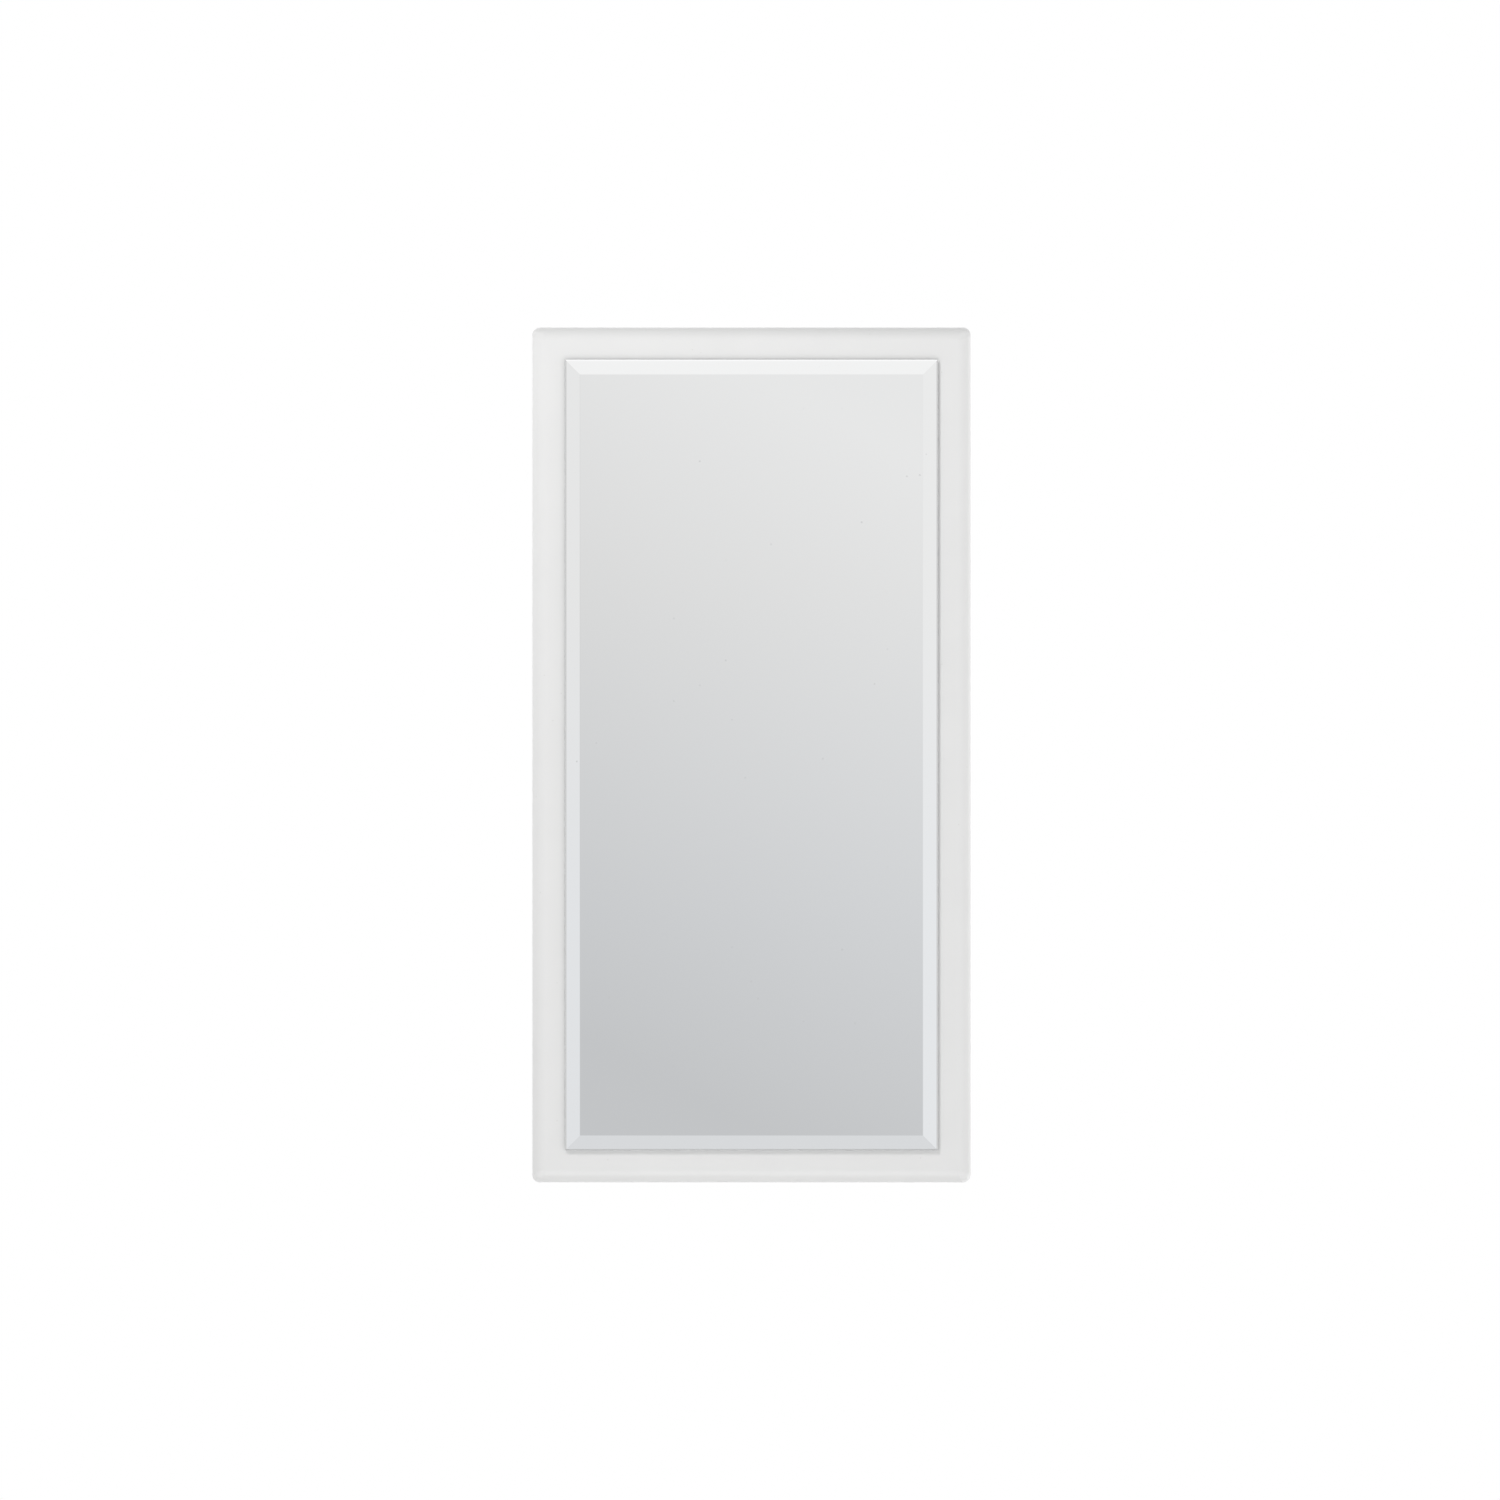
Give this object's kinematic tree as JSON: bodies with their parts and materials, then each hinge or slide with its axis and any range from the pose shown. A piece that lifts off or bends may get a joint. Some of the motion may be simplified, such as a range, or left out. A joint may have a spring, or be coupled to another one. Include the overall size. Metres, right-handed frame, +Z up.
{
  "type": "wall cabinet",
  "caption": "Upright wall cabinet with a bevelled mirror on its white lacquered door, glass shelves, concealed hinges and a push latch.",
  "frame": {"origin": "centre of the back face of the wall rail that the cabinet hooks over, on the wall plane", "axes": "+Z up, +Y into the wall, so the door faces -Y; +X is the right-hand side as seen from the front"},
  "size_m": [0.4, 0.1704, 0.78],
  "materials": {
    "white_board": "white melamine faced board, satin",
    "white_lacquer": "white satin lacquer on fibreboard",
    "mirror_silver": "silvered glass, bevelled",
    "shelf_glass": "clear glass with ground edges",
    "foam_tape": "double-sided foam tape",
    "white_plastic": "white moulded plastic",
    "grey_plastic": "grey moulded plastic",
    "soft_rubber": "clear soft bumper",
    "plated_steel": "zinc plated steel",
    "bright_nickel": "nickel plated steel"
  },
  "bodies": {
    "carcass": {"back_panel": "white_board", "bottom_panel": "white_board", "latch_housing": "grey_plastic", "latch_screw_front": "bright_nickel", "latch_screw_rear": "bright_nickel", "latch_spring": "plated_steel", "left_hanger_case": "white_plastic", "left_hanger_hook": "plated_steel", "left_hanger_screw": "plated_steel", "left_rail_screw": "bright_nickel", "left_side_panel": "white_board", "lower_arm_screw": "bright_nickel", "lower_hinge_arm": "bright_nickel", "lower_hinge_plate": "bright_nickel", "lower_plate_screw_lower": "bright_nickel", "lower_plate_screw_upper": "bright_nickel", "lower_shelf": "shelf_glass", "lower_shelf_peg_left_back": "bright_nickel", "lower_shelf_peg_left_front": "bright_nickel", "lower_shelf_peg_right_back": "bright_nickel", "lower_shelf_peg_right_front": "bright_nickel", "middle_shelf": "shelf_glass", "middle_shelf_peg_left_back": "bright_nickel", "middle_shelf_peg_left_front": "bright_nickel", "middle_shelf_peg_right_back": "bright_nickel", "middle_shelf_peg_right_front": "bright_nickel", "right_hanger_case": "white_plastic", "right_hanger_hook": "plated_steel", "right_hanger_screw": "plated_steel", "right_rail_screw": "bright_nickel", "right_side_panel": "white_board", "top_panel": "white_board", "upper_arm_screw": "bright_nickel", "upper_hinge_arm": "bright_nickel", "upper_hinge_plate": "bright_nickel", "upper_plate_screw_lower": "bright_nickel", "upper_plate_screw_upper": "bright_nickel", "upper_shelf": "shelf_glass", "upper_shelf_peg_left_back": "bright_nickel", "upper_shelf_peg_left_front": "bright_nickel", "upper_shelf_peg_right_back": "bright_nickel", "upper_shelf_peg_right_front": "bright_nickel", "wall_rail": "plated_steel"},
    "door": {"door_panel": "white_lacquer", "lower_bumper": "soft_rubber", "lower_cup_screw_lower": "bright_nickel", "lower_cup_screw_upper": "bright_nickel", "lower_hinge_cup": "bright_nickel", "lower_hinge_pin": "plated_steel", "mirror": "mirror_silver", "mirror_tape": "foam_tape", "strike_plate": "bright_nickel", "strike_screw": "bright_nickel", "upper_bumper": "soft_rubber", "upper_cup_screw_lower": "bright_nickel", "upper_cup_screw_upper": "bright_nickel", "upper_hinge_cup": "bright_nickel", "upper_hinge_pin": "plated_steel"},
    "latch_plunger": {"latch_magnet": "plated_steel", "latch_plunger": "white_plastic"}
  },
  "joints": [
    {"name": "door_swing", "type": "hinge", "parent": "carcass", "child": "door", "pos_m": [-0.192, -0.156, -0.328], "axis": [0, 0, -1], "range_deg": [0, 100]},
    {"name": "latch_push", "type": "slide", "parent": "carcass", "child": "latch_plunger", "axis": [0, 1, 0], "range_m": [0, 0.003], "stiffness_N_per_m": 120, "springref_m": -0.01, "deforming": ["latch_spring"]}
  ]
}
